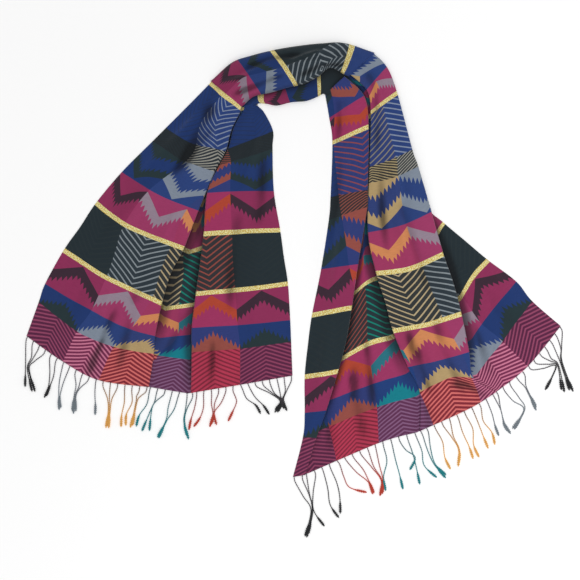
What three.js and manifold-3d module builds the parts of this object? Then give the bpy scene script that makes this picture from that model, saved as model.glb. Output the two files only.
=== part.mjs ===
import * as THREE from 'three';
import { mergeVertices } from 'three/addons/utils/BufferGeometryUtils.js';
import Module from 'manifold-3d';

// A fringed woven scarf laid on a flat surface as an arch, its middle bunched and its tails fanned out.
// Millimetres, +Z up. The hems face -Y and the bunched neck stretch lies at +Y.

const CLOTH = 1.2;            // thickness of the cloth wall
const SEAM = 0.3;             // gap between two pieces where they meet
const FLOOR = CLOTH / 2;      // height of the middle of a wall that rests on the surface
const LANDING = 5;            // how far a panel stays level past the fold hidden beneath it
const SLOPE = 38;             // how far out the panel has come down again
const FRINGE_STRIP = 3;       // width of the strip that carries the fringe
const STRAND_RADIUS = 0.9;    // a twisted cord of the fringe, centre to corner
const STRAND_HEIGHT = 1.25;   // height of its middle above the surface
const STRAND_COUNT = 40;      // cords on each hem
const STRAND_SPREAD = 3.8;    // distance between the ends of two cords of one lock
const STRAND_SWAY = 2.5;      // how far a cord bows from a straight way
const STRAND_LEAVE = 14;      // how far it first runs straight out from the strip

// The end sections of the bunched neck, far side, step and arch side, shared with the tails.
const LEFT_SHOULDER = { far: [-184, 468], step: [-119, 409], near: [-85, 415] };
const RIGHT_SHOULDER = { far: [163, 528], step: [107, 476], near: [62, 434] };

// One row for each section of the left tail, from the hem up. at is the distance woven from the hem.
// The cloth runs outer, gray, gold, lap, then under the lap to slip, out to dip, under the tuck to
// tuck, black and inner. lapBy and tuckBy are the widths hidden, step the height of one hidden layer
// and lift the height that a panel swells between its folds.
const LEFT_TAIL = [
  { at: 0, outer: [-595, -97], gray: [-515, -153], gold: [-436, -194], lap: [-326, -209],
    slip: [-319, -210], dip: [-240, -223], tuck: [-233, -222], black: [-125, -204],
    inner: [-10, -184], lapBy: 4, tuckBy: 5, step: 2.4, lift: 1.5 },
  { at: 77, outer: [-568, -22], gray: [-484, -86], gold: [-403, -121], lap: [-315, -136],
    slip: [-308, -139], dip: [-237, -149], tuck: [-231, -132], black: [-125, -124],
    inner: [-13, -110], lapBy: 5, tuckBy: 23, step: 2.6, lift: 2.5 },
  { at: 130, outer: [-554, 18], gray: [-466, -33], gold: [-385, -75], lap: [-312, -97],
    slip: [-302, -101], dip: [-239, -94], tuck: [-231, -79], black: [-130, -73],
    inner: [-15, -62], lapBy: 12, tuckBy: 31, step: 2.8, lift: 3 },
  { at: 212, outer: [-513, 92], gray: [-436, 41], gold: [-385, 15], lap: [-308, -19],
    slip: [-299, -32], dip: [-229, -28], tuck: [-222, -4], black: [-116, 6],
    inner: [-20, 18], lapBy: 30, tuckBy: 45, step: 3, lift: 4 },
  { at: 272, outer: [-477, 143], gray: [-414, 98], gold: [-362, 72], lap: [-277, 42],
    slip: [-265, 30], dip: [-220, 32], tuck: [-213, 59], black: [-110, 72],
    inner: [-29, 77], lapBy: 36, tuckBy: 46, step: 3.2, lift: 5 },
  { at: 332, outer: [-442, 196], gray: [-390, 155], gold: [-338, 130], lap: [-249, 95],
    slip: [-236, 88], dip: [-212, 96], tuck: [-205, 128], black: [-106, 133],
    inner: [-37, 136], lapBy: 38, tuckBy: 44, step: 3.4, lift: 6 },
  { at: 421, outer: [-385, 264], gray: [-344, 236], gold: [-295, 209], lap: [-217, 178],
    slip: [-211, 175], dip: [-204, 182], tuck: [-197, 218], black: [-110, 221],
    inner: [-51, 221], lapBy: 34, tuckBy: 38, step: 3.6, lift: 7 },
  { at: 518, outer: [-317, 332], gray: [-288, 312], gold: [-250, 288], lap: [-188, 262],
    slip: [-183, 262], dip: [-178, 266], tuck: [-171, 277], black: [-104, 298],
    inner: [-54, 315], lapBy: 26, tuckBy: 30, step: 3.8, lift: 8 },
  { at: 558, outer: [-288, 361], gray: [-262, 343], gold: [-226, 325], lap: [-167, 307],
    slip: [-162, 307], dip: [-158, 309], tuck: [-151, 314], black: [-94, 337],
    inner: [-53, 354], lapBy: 24, tuckBy: 25, step: 4, lift: 8 },
  { at: 623, outer: [-240, 409], gray: [-222, 394], gold: [-194, 377], lap: [-151, 355],
    slip: [-147, 355], dip: [-144, 357], tuck: [-138, 362], black: [-98, 382],
    inner: [-72, 394], lapBy: 18, tuckBy: 17, step: 4.2, lift: 8 },
  { at: 680, outer: [-196, 454], gray: [-181, 440], gold: [-162, 422], lap: [-131, 396],
    slip: [-127, 395], dip: [-123, 396], tuck: [-117, 400], black: [-99, 406],
    inner: [-86, 409], lapBy: 14, tuckBy: 7, step: 4.4, lift: 7 },
];

// The right tail in the same way. From the arch side the cloth runs inner, lap, then under the lap to
// slip, ridge and dip, under the front panel to front, crest and fold, then under it to back, black
// and outer. lapBy, frontBy and backBy are the widths hidden at the three folds, and ridgeBy the height
// of the ridge that runs down the middle panel.
const RIGHT_TAIL = [
  { at: 0, inner: [-9, -407], lap: [18, -402], slip: [24, -399], ridge: [180, -332],
    dip: [263, -309], front: [270, -306], crest: [380, -256], fold: [438, -220],
    back: [445, -215], black: [508, -163], outer: [580, -75],
    lapBy: 4, frontBy: 4, backBy: 4, ridgeBy: 1.5, step: 2.4, lift: 1.5 },
  { at: 77, inner: [13, -320], lap: [42, -321], slip: [49, -304], ridge: [176, -253],
    dip: [263, -229], front: [270, -220], crest: [335, -189], fold: [388, -189],
    back: [395, -182], black: [451, -108], outer: [517, -20],
    lapBy: 10, frontBy: 5, backBy: 6, ridgeBy: 2.5, step: 2.6, lift: 2.5 },
  { at: 130, inner: [17, -266], lap: [64, -260], slip: [72, -238], ridge: [165, -203],
    dip: [238, -180], front: [244, -165], crest: [305, -152], fold: [378, -132],
    back: [384, -104], black: [427, -42], outer: [482, 23],
    lapBy: 20, frontBy: 10, backBy: 24, ridgeBy: 3, step: 2.8, lift: 3 },
  { at: 212, inner: [17, -187], lap: [90, -174], slip: [99, -147], ridge: [156, -114],
    dip: [203, -101], front: [211, -86], crest: [283, -72], fold: [361, -48],
    back: [360, -12], black: [387, 33], outer: [420, 70],
    lapBy: 30, frontBy: 26, backBy: 32, ridgeBy: 3.5, step: 3, lift: 4 },
  { at: 272, inner: [24, -117], lap: [108, -106], slip: [117, -73], ridge: [154, -48],
    dip: [187, -37], front: [194, -22], crest: [266, -10], fold: [343, 20],
    back: [340, 62], black: [351, 88], outer: [369, 113],
    lapBy: 34, frontBy: 30, backBy: 34, ridgeBy: 3, step: 3.2, lift: 5 },
  { at: 332, inner: [33, -51], lap: [120, -35], slip: [129, 0], ridge: [150, 18],
    dip: [167, 28], front: [174, 41], crest: [246, 50], fold: [321, 84],
    back: [309, 131], black: [316, 142], outer: [323, 152],
    lapBy: 36, frontBy: 31, backBy: 36, ridgeBy: 1.5, step: 3.4, lift: 6 },
  { at: 421, inner: [53, 49], lap: [134, 61], slip: [141, 72], ridge: [146, 84],
    dip: [150, 98], front: [156, 130], crest: [224, 144], fold: [295, 176],
    back: [277, 182], black: [281, 186], outer: [285, 190],
    lapBy: 32, frontBy: 28, backBy: 30, ridgeBy: 0, step: 3.6, lift: 7 },
  { at: 518, inner: [70, 158], lap: [148, 184], slip: [152, 204], ridge: [153, 210],
    dip: [154, 217], front: [158, 239], crest: [212, 251], fold: [266, 275],
    back: [255, 272], black: [258, 276], outer: [261, 280],
    lapBy: 28, frontBy: 22, backBy: 22, ridgeBy: 0, step: 3.8, lift: 8 },
  { at: 558, inner: [74, 209], lap: [149, 222], slip: [153, 242], ridge: [154, 248],
    dip: [155, 255], front: [159, 275], crest: [205, 290], fold: [253, 312],
    back: [242, 307], black: [245, 311], outer: [248, 315],
    lapBy: 26, frontBy: 18, backBy: 18, ridgeBy: 0, step: 4, lift: 8 },
  { at: 688, inner: [78, 328], lap: [151, 361], slip: [154, 373], ridge: [155, 378],
    dip: [157, 384], front: [162, 394], crest: [190, 416], fold: [220, 436],
    back: [214, 432], black: [216, 433.5], outer: [218, 435],
    lapBy: 24, frontBy: 13, backBy: 12, ridgeBy: 0, step: 4.4, lift: 8 },
  { at: 752, inner: [71, 383], lap: [140, 428], slip: [143, 433], ridge: [145, 436],
    dip: [147, 439], front: [153, 444], crest: [174, 469], fold: [197, 494],
    back: [192.6, 489], black: [194, 491], outer: [195.5, 492.5],
    lapBy: 18, frontBy: 12, backBy: 11, ridgeBy: 0, step: 4.6, lift: 7 },
];

// The bunched neck from the left shoulder to the right one. far and near are its edges away from and
// towards the arch, step the edge of its upper roll, and height the height of that roll.
const NECK = [
  { ...LEFT_SHOULDER, height: 14 },
  { far: [-143, 504], step: [-95, 429], near: [-68, 414], height: 20 },
  { far: [-101, 519], step: [-59, 437], near: [-44, 410], height: 25 },
  { far: [-48, 532], step: [-20, 448], near: [-13, 417], height: 27 },
  { far: [7, 541], step: [13, 456], near: [20, 420], height: 26 },
  { far: [55, 546], step: [46, 472], near: [44, 429], height: 24 },
  { far: [103, 547], step: [73, 492], near: [57, 436], height: 19 },
  { ...RIGHT_SHOULDER, height: 15 },
];

// The locks of each fringe, in the order of its cords: how many cords gather, and where their ends lie.
const LEFT_LOCKS = [
  { cords: 3, end: [-594, -212] }, { cords: 4, end: [-566, -228] }, { cords: 4, end: [-509, -258] },
  { cords: 3, end: [-452, -262] }, { cords: 3, end: [-412, -292] }, { cords: 3, end: [-372, -296] },
  { cords: 3, end: [-332, -304] }, { cords: 3, end: [-292, -318] }, { cords: 3, end: [-244, -314] },
  { cords: 3, end: [-196, -298] }, { cords: 3, end: [-152, -286] }, { cords: 2, end: [-76, -272] },
  { cords: 3, end: [-16, -262] },
];
const RIGHT_LOCKS = [
  { cords: 4, end: [20, -532] }, { cords: 3, end: [66, -514] }, { cords: 3, end: [98, -488] },
  { cords: 4, end: [134, -446] }, { cords: 4, end: [180, -446] }, { cords: 3, end: [244, -420] },
  { cords: 3, end: [302, -412] }, { cords: 2, end: [340, -396] }, { cords: 3, end: [382, -372] },
  { cords: 3, end: [430, -340] }, { cords: 3, end: [470, -308] }, { cords: 2, end: [524, -256] },
  { cords: 3, end: [598, -216] },
];

const wasm = await Module();
wasm.setup();

const plan = (place) => new THREE.Vector2(place[0], place[1]);
const mix = (a, b, t) => a + (b - a) * t;
const between = (a, b, t) => a.clone().lerp(b, t);
const raised = (place, height) => new THREE.Vector3(place.x, place.y, height);

// A smooth value between b and c, where a and d are its neighbours.
function smooth(a, b, c, d, t) {
  return 0.5 * (2 * b + (c - a) * t + (2 * a - 5 * b + 4 * c - d) * t * t
    + (3 * b - a - 3 * c + d) * t * t * t);
}

// Sections between the rows of a table, every column smoothed.
function refine(rows, parts) {
  const result = [];
  for (let i = 0; i < rows.length - 1; i++) {
    const four = [rows[Math.max(i - 1, 0)], rows[i], rows[i + 1], rows[Math.min(i + 2, rows.length - 1)]];
    for (let k = 0; k < parts; k++) {
      const row = {};
      for (const name of Object.keys(rows[i])) {
        const value = (of) => smooth(...four.map(of), k / parts);
        const isPlace = Array.isArray(rows[i][name]);
        row[name] = isPlace ? [value((r) => r[name][0]), value((r) => r[name][1])] : value((r) => r[name]);
      }
      result.push(row);
    }
  }
  result.push(rows[rows.length - 1]);
  return result;
}

// The path of the cloth through one pleat, from the upper panel to the lower one: level over the
// hidden layers, round the fold, back beneath, round the hidden fold and out to where it shows.
function pleat(panel, edge, below, hidden, step) {
  const inward = panel.clone().sub(edge);
  const length = inward.length();
  inward.normalize();
  const width = Math.min(hidden, 0.45 * length);
  const bend = step / 2;
  const along = (distance) => edge.clone().addScaledVector(inward, distance);
  const skew = below.clone().sub(edge);
  skew.addScaledVector(inward, -skew.dot(inward)).multiplyScalar(0.5);
  const tip = along(width).add(skew);
  const tipBack = tip.clone().addScaledVector(inward, -bend);
  const upper = FLOOR + 2 * step;
  const middle = FLOOR + step;
  return [
    raised(along(Math.min(width + SLOPE, 0.88 * length)), mix(FLOOR, upper, 0.25)),
    raised(along(Math.min(width + LANDING + SLOPE / 3, 0.7 * length)), mix(FLOOR, upper, 0.8)),
    raised(along(Math.min(width + LANDING, 0.52 * length)), upper),
    raised(along(bend), upper),
    raised(edge, middle + bend),
    raised(along(bend), middle),
    raised(tipBack, middle),
    raised(tip, FLOOR + bend),
    raised(tipBack, FLOOR),
    raised(below, FLOOR),
  ];
}

// The mirror pleat, from the lower panel to the upper one.
const pleatBack = (panel, edge, below, hidden, step) => pleat(panel, edge, below, hidden, step).reverse();

// The line of the left tail's cloth at one section, from its outer edge to its inner edge.
function leftSection(row) {
  const at = (name) => plan(row[name]);
  return [
    raised(at('outer'), FLOOR),
    raised(between(at('outer'), at('gray'), 0.5), FLOOR + 0.5 * row.lift),
    raised(at('gray'), FLOOR + row.lift),
    raised(at('gold'), FLOOR + row.lift * 0.6),
    ...pleat(at('gold'), at('lap'), at('slip'), row.lapBy, row.step),
    raised(between(at('slip'), at('dip'), 0.5), FLOOR),
    ...pleatBack(at('black'), at('tuck'), at('dip'), row.tuckBy, row.step),
    raised(at('black'), FLOOR + row.lift * 0.7),
    raised(between(at('black'), at('inner'), 0.5), FLOOR + 0.5 * row.lift),
    raised(at('inner'), FLOOR),
  ];
}

// The line of the right tail's cloth at one section, from the arch outwards.
function rightSection(row) {
  const at = (name) => plan(row[name]);
  const start = between(at('inner'), at('lap'), 0.12);
  return [
    raised(at('inner'), FLOOR),
    raised(start, FLOOR + 0.3 * row.lift),
    ...pleat(start, at('lap'), at('slip'), row.lapBy, row.step),
    raised(at('ridge'), FLOOR + row.ridgeBy),
    ...pleatBack(at('crest'), at('front'), at('dip'), row.frontBy, row.step),
    raised(at('crest'), FLOOR + row.step + row.lift * 0.3),
    ...pleat(at('crest'), at('fold'), at('back'), row.backBy, row.step),
    raised(at('black'), FLOOR),
    raised(at('outer'), FLOOR),
  ];
}

// The plan direction of a section at each point and the way its wall faces.
function facing(section, index) {
  const before = section[Math.max(index - 1, 0)];
  const after = section[Math.min(index + 1, section.length - 1)];
  const ends = section[section.length - 1].clone().sub(section[0]);
  const overall = new THREE.Vector2(ends.x, ends.y).normalize();
  const line = new THREE.Vector2(after.x - before.x, after.y - before.y);
  const sign = line.dot(overall) < 0 ? -1 : 1;
  const flat = line.length();
  const way = flat > 0.01 ? line.multiplyScalar(sign / flat) : overall;
  const rise = after.z - before.z;
  const size = Math.hypot(flat, rise);
  return new THREE.Vector3(-rise * way.x, -rise * way.y, sign * flat).divideScalar(size);
}

function geometryOf(points, faces) {
  const geometry = new THREE.BufferGeometry();
  geometry.setAttribute('position', new THREE.Float32BufferAttribute(points.flatMap((p) => p.toArray()), 3));
  let volume = 0;
  for (const [a, b, c] of faces) {
    volume += points[a].dot(points[b].clone().cross(points[c]));
  }
  geometry.setIndex(faces.flatMap(([a, b, c]) => (volume > 0 ? [a, b, c] : [a, c, b])));
  return geometry;
}

// A cloth wall through the sections, half its thickness to each side of their lines.
function clothWall(sections) {
  const rows = sections.length;
  const width = sections[0].length;
  const points = [];
  for (const side of [1, -1]) {
    for (const section of sections) {
      section.forEach((point, j) => {
        points.push(point.clone().addScaledVector(facing(section, j), side * CLOTH / 2));
      });
    }
  }
  const under = rows * width;
  const at = (i, j) => i * width + j;
  const faces = [];
  const quad = (a, b, c, d) => faces.push([a, b, c], [a, c, d]);
  for (let i = 0; i < rows - 1; i++) {
    for (let j = 0; j < width - 1; j++) {
      const ring = [at(i, j), at(i, j + 1), at(i + 1, j + 1), at(i + 1, j)];
      quad(...ring);
      quad(...ring.map((k) => k + under).reverse());
    }
    quad(at(i + 1, 0), under + at(i + 1, 0), under + at(i, 0), at(i, 0));
    const last = width - 1;
    quad(at(i, last), under + at(i, last), under + at(i + 1, last), at(i + 1, last));
  }
  for (let j = 0; j < width - 1; j++) {
    quad(at(0, j), under + at(0, j), under + at(0, j + 1), at(0, j + 1));
    const top = rows - 1;
    quad(at(top, j + 1), under + at(top, j + 1), under + at(top, j), at(top, j));
  }
  return geometryOf(points, faces);
}

// A closed solid through rings with as many points each, capped by the given triangles.
function loft(rings, cap) {
  const count = rings[0].length;
  const faces = [];
  for (let i = 0; i < rings.length - 1; i++) {
    for (let j = 0; j < count; j++) {
      const next = (j + 1) % count;
      const [a, b, c, d] = [i * count + j, i * count + next, (i + 1) * count + next, (i + 1) * count + j];
      faces.push([a, b, c], [a, c, d]);
    }
  }
  const last = (rings.length - 1) * count;
  for (const [a, b, c] of cap) {
    faces.push([a, c, b], [last + a, last + b, last + c]);
  }
  return geometryOf(rings.flat(), faces);
}

// The outline of the bunched neck across one section: distance from its far edge, and height. The
// folded edges of its layers show as lips at both edges and where the upper roll ends.
function neckOutline(rollWidth, fullWidth, height) {
  const low = height * 0.4;
  const lip = 1.8;
  return [
    [3, 0], [fullWidth - 3, 0],
    [fullWidth, low * 0.26], [fullWidth - lip, low * 0.5], [fullWidth - 0.3, low * 0.74],
    [fullWidth - 4, low], [mix(rollWidth, fullWidth, 0.45), low * 1.12], [rollWidth + 1, low],
    [rollWidth - lip, low + (height - low) * 0.08], [rollWidth, low + (height - low) * 0.3],
    [rollWidth - lip * 1.4, low + (height - low) * 0.5], [rollWidth - 2.4, low + (height - low) * 0.72],
    [rollWidth * 0.86, height * 0.95], [rollWidth * 0.66, height], [rollWidth * 0.5, height * 0.93],
    [rollWidth * 0.34, height * 0.96], [rollWidth * 0.18, height * 0.82], [rollWidth * 0.06, height * 0.62],
    [lip * 1.4, height * 0.47], [0.6, height * 0.36], [lip, height * 0.24], [0, height * 0.11],
  ];
}

function neckSolid() {
  const outlines = [];
  const rings = refine(NECK, 2).map((row) => {
    const [far, step, near] = [plan(row.far), plan(row.step), plan(row.near)];
    const roll = far.distanceTo(step);
    const rest = step.distanceTo(near);
    const outline = neckOutline(roll, roll + rest, row.height);
    outlines.push(outline);
    return outline.map(([distance, height]) => {
      const place = distance < roll
        ? between(far, step, distance / roll)
        : between(step, near, (distance - roll) / rest);
      return raised(place, height);
    });
  });
  const cap = THREE.ShapeUtils.triangulateShape(outlines[0].map((p) => new THREE.Vector2(p[0], p[1])), []);
  return loft(rings, cap);
}

// The last section of a tail lies along the neck's end section, a seam away from it.
function shoulderRow(row, shoulder, columns, away) {
  const [far, step, near] = [plan(shoulder.far), plan(shoulder.step), plan(shoulder.near)];
  const result = { ...row };
  for (const [name, distance] of Object.entries(columns)) {
    const place = distance <= 1 ? between(far, step, distance) : between(step, near, distance - 1);
    result[name] = [place.x + away[0], place.y + away[1]];
  }
  return result;
}

const leftTop = shoulderRow(LEFT_TAIL[LEFT_TAIL.length - 1], LEFT_SHOULDER, {
  outer: 0, gray: 0.2, gold: 0.42, lap: 0.86, slip: 0.92, dip: 1, tuck: 1.12, black: 1.6, inner: 2,
}, [-0.3, -0.5]);
const rightTop = shoulderRow(RIGHT_TAIL[RIGHT_TAIL.length - 1], RIGHT_SHOULDER, {
  inner: 2, lap: 1.12, slip: 1.06, ridge: 1.03, dip: 1, front: 0.9, crest: 0.5, fold: 0,
  back: 0.085, black: 0.055, outer: 0.026,
}, [0.4, -0.4]);

const solidOf = (geometry) => {
  const merged = geometry.clone();
  merged.deleteAttribute('normal');
  merged.deleteAttribute('uv');
  const mesh = mergeVertices(merged);
  return new wasm.Manifold(new wasm.Mesh({
    numProp: 3,
    vertProperties: mesh.attributes.position.array,
    triVerts: new Uint32Array(mesh.index.array),
  }));
};

const geometryFrom = (solid) => {
  const mesh = solid.getMesh();
  const geometry = new THREE.BufferGeometry();
  geometry.setAttribute('position', new THREE.Float32BufferAttribute(mesh.vertProperties, 3));
  geometry.setIndex([...mesh.triVerts]);
  return geometry;
};

// The hem as a line of places on the surface, moved out by a distance.
function hemLine(places, out) {
  return places.map((place, i) => {
    const before = places[Math.max(i - 1, 0)];
    const after = places[Math.min(i + 1, places.length - 1)];
    const line = after.clone().sub(before).normalize();
    return place.clone().add(new THREE.Vector2(line.y, -line.x).multiplyScalar(out));
  });
}

function alongLine(places, fraction) {
  const lengths = places.slice(1).map((place, i) => place.distanceTo(places[i]));
  let rest = fraction * lengths.reduce((sum, length) => sum + length, 0);
  let i = 0;
  while (i < lengths.length - 1 && rest > lengths[i]) {
    rest -= lengths[i];
    i += 1;
  }
  return between(places[i], places[i + 1], rest / lengths[i]);
}

// One twisted cord with three sides, from inside the strip to its loose end.
function strand(root, leave, end, sway) {
  const side = end.clone().sub(root).normalize();
  side.set(-side.y, side.x);
  const way = [
    root,
    leave,
    between(leave, end, 0.35).addScaledVector(side, sway),
    between(leave, end, 0.7).addScaledVector(side, -0.4 * sway),
    end,
  ];
  const rings = way.map((place, i) => {
    const line = way[Math.min(i + 1, 4)].clone().sub(way[Math.max(i - 1, 0)]).normalize();
    const across = new THREE.Vector2(-line.y, line.x);
    return [0, 1, 2].map((corner) => {
      const turn = Math.PI * (0.5 + (2 * corner) / 3);
      const shift = STRAND_RADIUS * Math.cos(turn);
      return raised(place.clone().addScaledVector(across, shift), STRAND_HEIGHT + STRAND_RADIUS * Math.sin(turn));
    });
  });
  return loft(rings, [[0, 1, 2]]);
}

// A fringe: a narrow strip beside the hem, and the cords that leave it.
function fringe(places, locks) {
  const stripRings = hemLine(places, SEAM + FRINGE_STRIP / 2).map((place, i, line) => {
    const inner = hemLine(places, SEAM)[i];
    const outer = hemLine(places, SEAM + FRINGE_STRIP)[i];
    return [raised(inner, 0), raised(outer, 0), raised(outer, CLOTH), raised(inner, CLOTH)];
  });
  let solid = solidOf(loft(stripRings, [[0, 1, 2], [0, 2, 3]]));
  const roots = hemLine(places, SEAM + FRINGE_STRIP / 2);
  const leaving = hemLine(places, SEAM + FRINGE_STRIP + STRAND_LEAVE);
  let index = 0;
  for (const lock of locks) {
    const middle = (lock.cords - 1) / 2;
    for (let k = 0; k < lock.cords; k++) {
      const fraction = mix(0.004, 0.996, index / (STRAND_COUNT - 1));
      const root = alongLine(roots, fraction);
      const leave = alongLine(leaving, fraction);
      const way = plan(lock.end).sub(root).normalize();
      const across = new THREE.Vector2(-way.y, way.x);
      const end = plan(lock.end).addScaledVector(across, (k - middle) * STRAND_SPREAD);
      const sway = STRAND_SWAY * Math.sin(index * 1.7);
      solid = solid.add(solidOf(strand(root, leave, end, sway)));
      index += 1;
    }
  }
  return geometryFrom(solid);
}

const hemOf = (row, columns) => columns.map((name) => plan(row[name]));
const leftHem = hemOf(LEFT_TAIL[0], ['outer', 'gray', 'gold', 'lap', 'slip', 'dip', 'tuck', 'black', 'inner']);
const rightHem = hemOf(RIGHT_TAIL[0], ['inner', 'lap', 'slip', 'ridge', 'dip', 'front', 'crest', 'fold',
  'back', 'black', 'outer']);

const scarf = new THREE.Group();
function addPiece(name, geometry, colour) {
  const material = new THREE.MeshStandardMaterial({ color: colour, roughness: 0.85, metalness: 0 });
  const mesh = new THREE.Mesh(geometry, material);
  mesh.name = name;
  scarf.add(mesh);
}

addPiece('left_tail', clothWall([...refine(LEFT_TAIL, 2), leftTop].map(leftSection)), 0x7a2448);
addPiece('right_tail', clothWall([...refine(RIGHT_TAIL, 2), rightTop].map(rightSection)), 0x8a2c55);
addPiece('neck_stretch', neckSolid(), 0x23345f);
addPiece('left_fringe', fringe(leftHem, LEFT_LOCKS), 0x2c5660);
addPiece('right_fringe', fringe(rightHem, RIGHT_LOCKS), 0xa8793e);

// The origin is at the middle of the part's footprint, on the surface it lies on.
const box = new THREE.Box3().setFromObject(scarf);
scarf.position.set(-(box.min.x + box.max.x) / 2, -(box.min.y + box.max.y) / 2, -box.min.z);
scarf.updateMatrixWorld(true);

export default scarf;
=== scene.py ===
import math

import bmesh
import bpy
import numpy as np
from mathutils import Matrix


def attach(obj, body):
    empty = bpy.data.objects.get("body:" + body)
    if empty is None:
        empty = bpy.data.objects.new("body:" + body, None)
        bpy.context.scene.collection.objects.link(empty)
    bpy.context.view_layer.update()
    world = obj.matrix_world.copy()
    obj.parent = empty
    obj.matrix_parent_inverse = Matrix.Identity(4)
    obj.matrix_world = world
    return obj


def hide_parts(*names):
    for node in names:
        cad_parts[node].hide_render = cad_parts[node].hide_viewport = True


# The looks of a fringed woven scarf, laid on a pale floor and seen from straight above. The tables
# are in millimetres, and HOME is where their zero lies in the part's own frame.
HOME = (0.539, -7.354)
FLOOR = 0.6             # height of the middle of the cloth where it rests on the surface
THICK = 1.0             # thickness of the cloth
LANDING = 5.0           # how far a panel stays level past the fold hidden beneath it
SLOPE = 38.0            # how far out the panel has come down again
CUT_WIDTH = 680.0       # the cloth's width between its selvedges
CUT_LENGTH = 1800.0     # its length between its hems
COLUMN = CUT_WIDTH / 6  # the six colour columns of the warp
CREASE_DEPTH = 2.5      # by how much every crease of the tables is deepened
FOLD_SHADE = 20.0       # how far the painted shade beside an overlying fold reaches
FOLD_PARTS = 6          # steps round each bend of a fold
PRESSED_WIDTH = 18.0    # a fold that hides less than this is pressed flatter
TAIL_PARTS = 13         # sections between two rows of a tail's table
NECK_PARTS = 12         # sections between two rows of the neck's table
ROLL_STEPS = 76         # steps round the neck's roll
UNDER_STEPS = 34        # steps across the layer under the roll
NECK_OVERLAP = 7        # how far the neck's sheets lie over the ends of the tails
RIPPLE = 0.7            # height of the faint waves of the tails
HEM_CREASES = 0.45      # how much of a crease's height is left at the hem
HEM_REACH = 60.0        # the distance from the hem at which a crease has its whole height
CREASE_PAINTED_SHADE = 0.68      # how much darker the painted shade makes the bottom of a deep trough
DEEP_TROUGH = 7.0       # the depth at which the painted shade of a trough is darkest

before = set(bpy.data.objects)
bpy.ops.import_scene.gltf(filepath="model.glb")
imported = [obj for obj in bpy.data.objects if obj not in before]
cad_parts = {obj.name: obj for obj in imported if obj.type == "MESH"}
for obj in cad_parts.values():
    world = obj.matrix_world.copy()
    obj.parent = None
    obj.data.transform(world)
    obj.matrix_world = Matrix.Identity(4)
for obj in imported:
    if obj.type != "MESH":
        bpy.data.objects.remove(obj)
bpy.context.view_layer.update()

LEFT_SHOULDER = dict(far=(-184, 468), step=(-119, 409), near=(-85, 415))
RIGHT_SHOULDER = dict(far=(163, 528), step=(107, 476), near=(62, 434))

# One row for each section of a tail, from the hem up. "at" is the distance woven from the hem, the
# places are the edges and borders of its panels, the widths named By are hidden at the folds, step
# is the height of one hidden layer and lift the height that a panel swells between its folds.
LEFT_TAIL = [
  dict(at=0, outer=(-595, -97), gray=(-515, -153), gold=(-436, -194), lap=(-326, -209),
    slip=(-319, -210), dip=(-240, -223), tuck=(-233, -222), black=(-125, -204),
    inner=(-10, -184), lapBy=4, tuckBy=5, step=2.4, lift=1.5),
  dict(at=77, outer=(-568, -22), gray=(-484, -86), gold=(-403, -121), lap=(-315, -136),
    slip=(-308, -139), dip=(-237, -149), tuck=(-231, -132), black=(-125, -124),
    inner=(-13, -110), lapBy=5, tuckBy=23, step=2.6, lift=2.5),
  dict(at=130, outer=(-554, 18), gray=(-466, -33), gold=(-385, -75), lap=(-312, -97),
    slip=(-302, -101), dip=(-239, -94), tuck=(-231, -79), black=(-130, -73),
    inner=(-15, -62), lapBy=12, tuckBy=31, step=2.8, lift=3),
  dict(at=212, outer=(-513, 92), gray=(-436, 41), gold=(-385, 15), lap=(-297, -25),
    slip=(-289, -37), dip=(-229, -28), tuck=(-222, -4), black=(-116, 6),
    inner=(-20, 18), lapBy=30, tuckBy=45, step=3, lift=4),
  dict(at=272, outer=(-477, 143), gray=(-414, 98), gold=(-362, 72), lap=(-277, 42),
    slip=(-265, 30), dip=(-220, 32), tuck=(-213, 59), black=(-110, 72),
    inner=(-29, 77), lapBy=36, tuckBy=46, step=3.2, lift=5),
  dict(at=332, outer=(-442, 196), gray=(-390, 155), gold=(-338, 130), lap=(-249, 95),
    slip=(-236, 88), dip=(-212, 96), tuck=(-205, 128), black=(-106, 133),
    inner=(-37, 136), lapBy=38, tuckBy=44, step=3.4, lift=6),
  dict(at=421, outer=(-385, 264), gray=(-344, 236), gold=(-295, 209), lap=(-217, 178),
    slip=(-211, 175), dip=(-204, 182), tuck=(-197, 218), black=(-110, 221),
    inner=(-51, 221), lapBy=34, tuckBy=38, step=3.6, lift=7),
  dict(at=518, outer=(-317, 332), gray=(-288, 312), gold=(-250, 288), lap=(-181, 264),
    slip=(-183, 262), dip=(-178, 266), tuck=(-171, 277), black=(-104, 298),
    inner=(-54, 315), lapBy=26, tuckBy=30, step=3.8, lift=8),
  dict(at=558, outer=(-288, 361), gray=(-262, 343), gold=(-226, 325), lap=(-157, 309),
    slip=(-162, 307), dip=(-158, 309), tuck=(-151, 314), black=(-94, 337),
    inner=(-53, 354), lapBy=24, tuckBy=25, step=4, lift=8),
  dict(at=623, outer=(-240, 409), gray=(-222, 394), gold=(-194, 377), lap=(-144, 356),
    slip=(-147, 355), dip=(-144, 357), tuck=(-138, 362), black=(-98, 382),
    inner=(-72, 394), lapBy=18, tuckBy=17, step=4.2, lift=8),
  dict(at=680, outer=(-196, 454), gray=(-181, 440), gold=(-162, 422), lap=(-125, 396),
    slip=(-127, 395), dip=(-123, 396), tuck=(-117, 400), black=(-99, 406),
    inner=(-86, 409), lapBy=14, tuckBy=7, step=4.4, lift=7),
]

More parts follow.
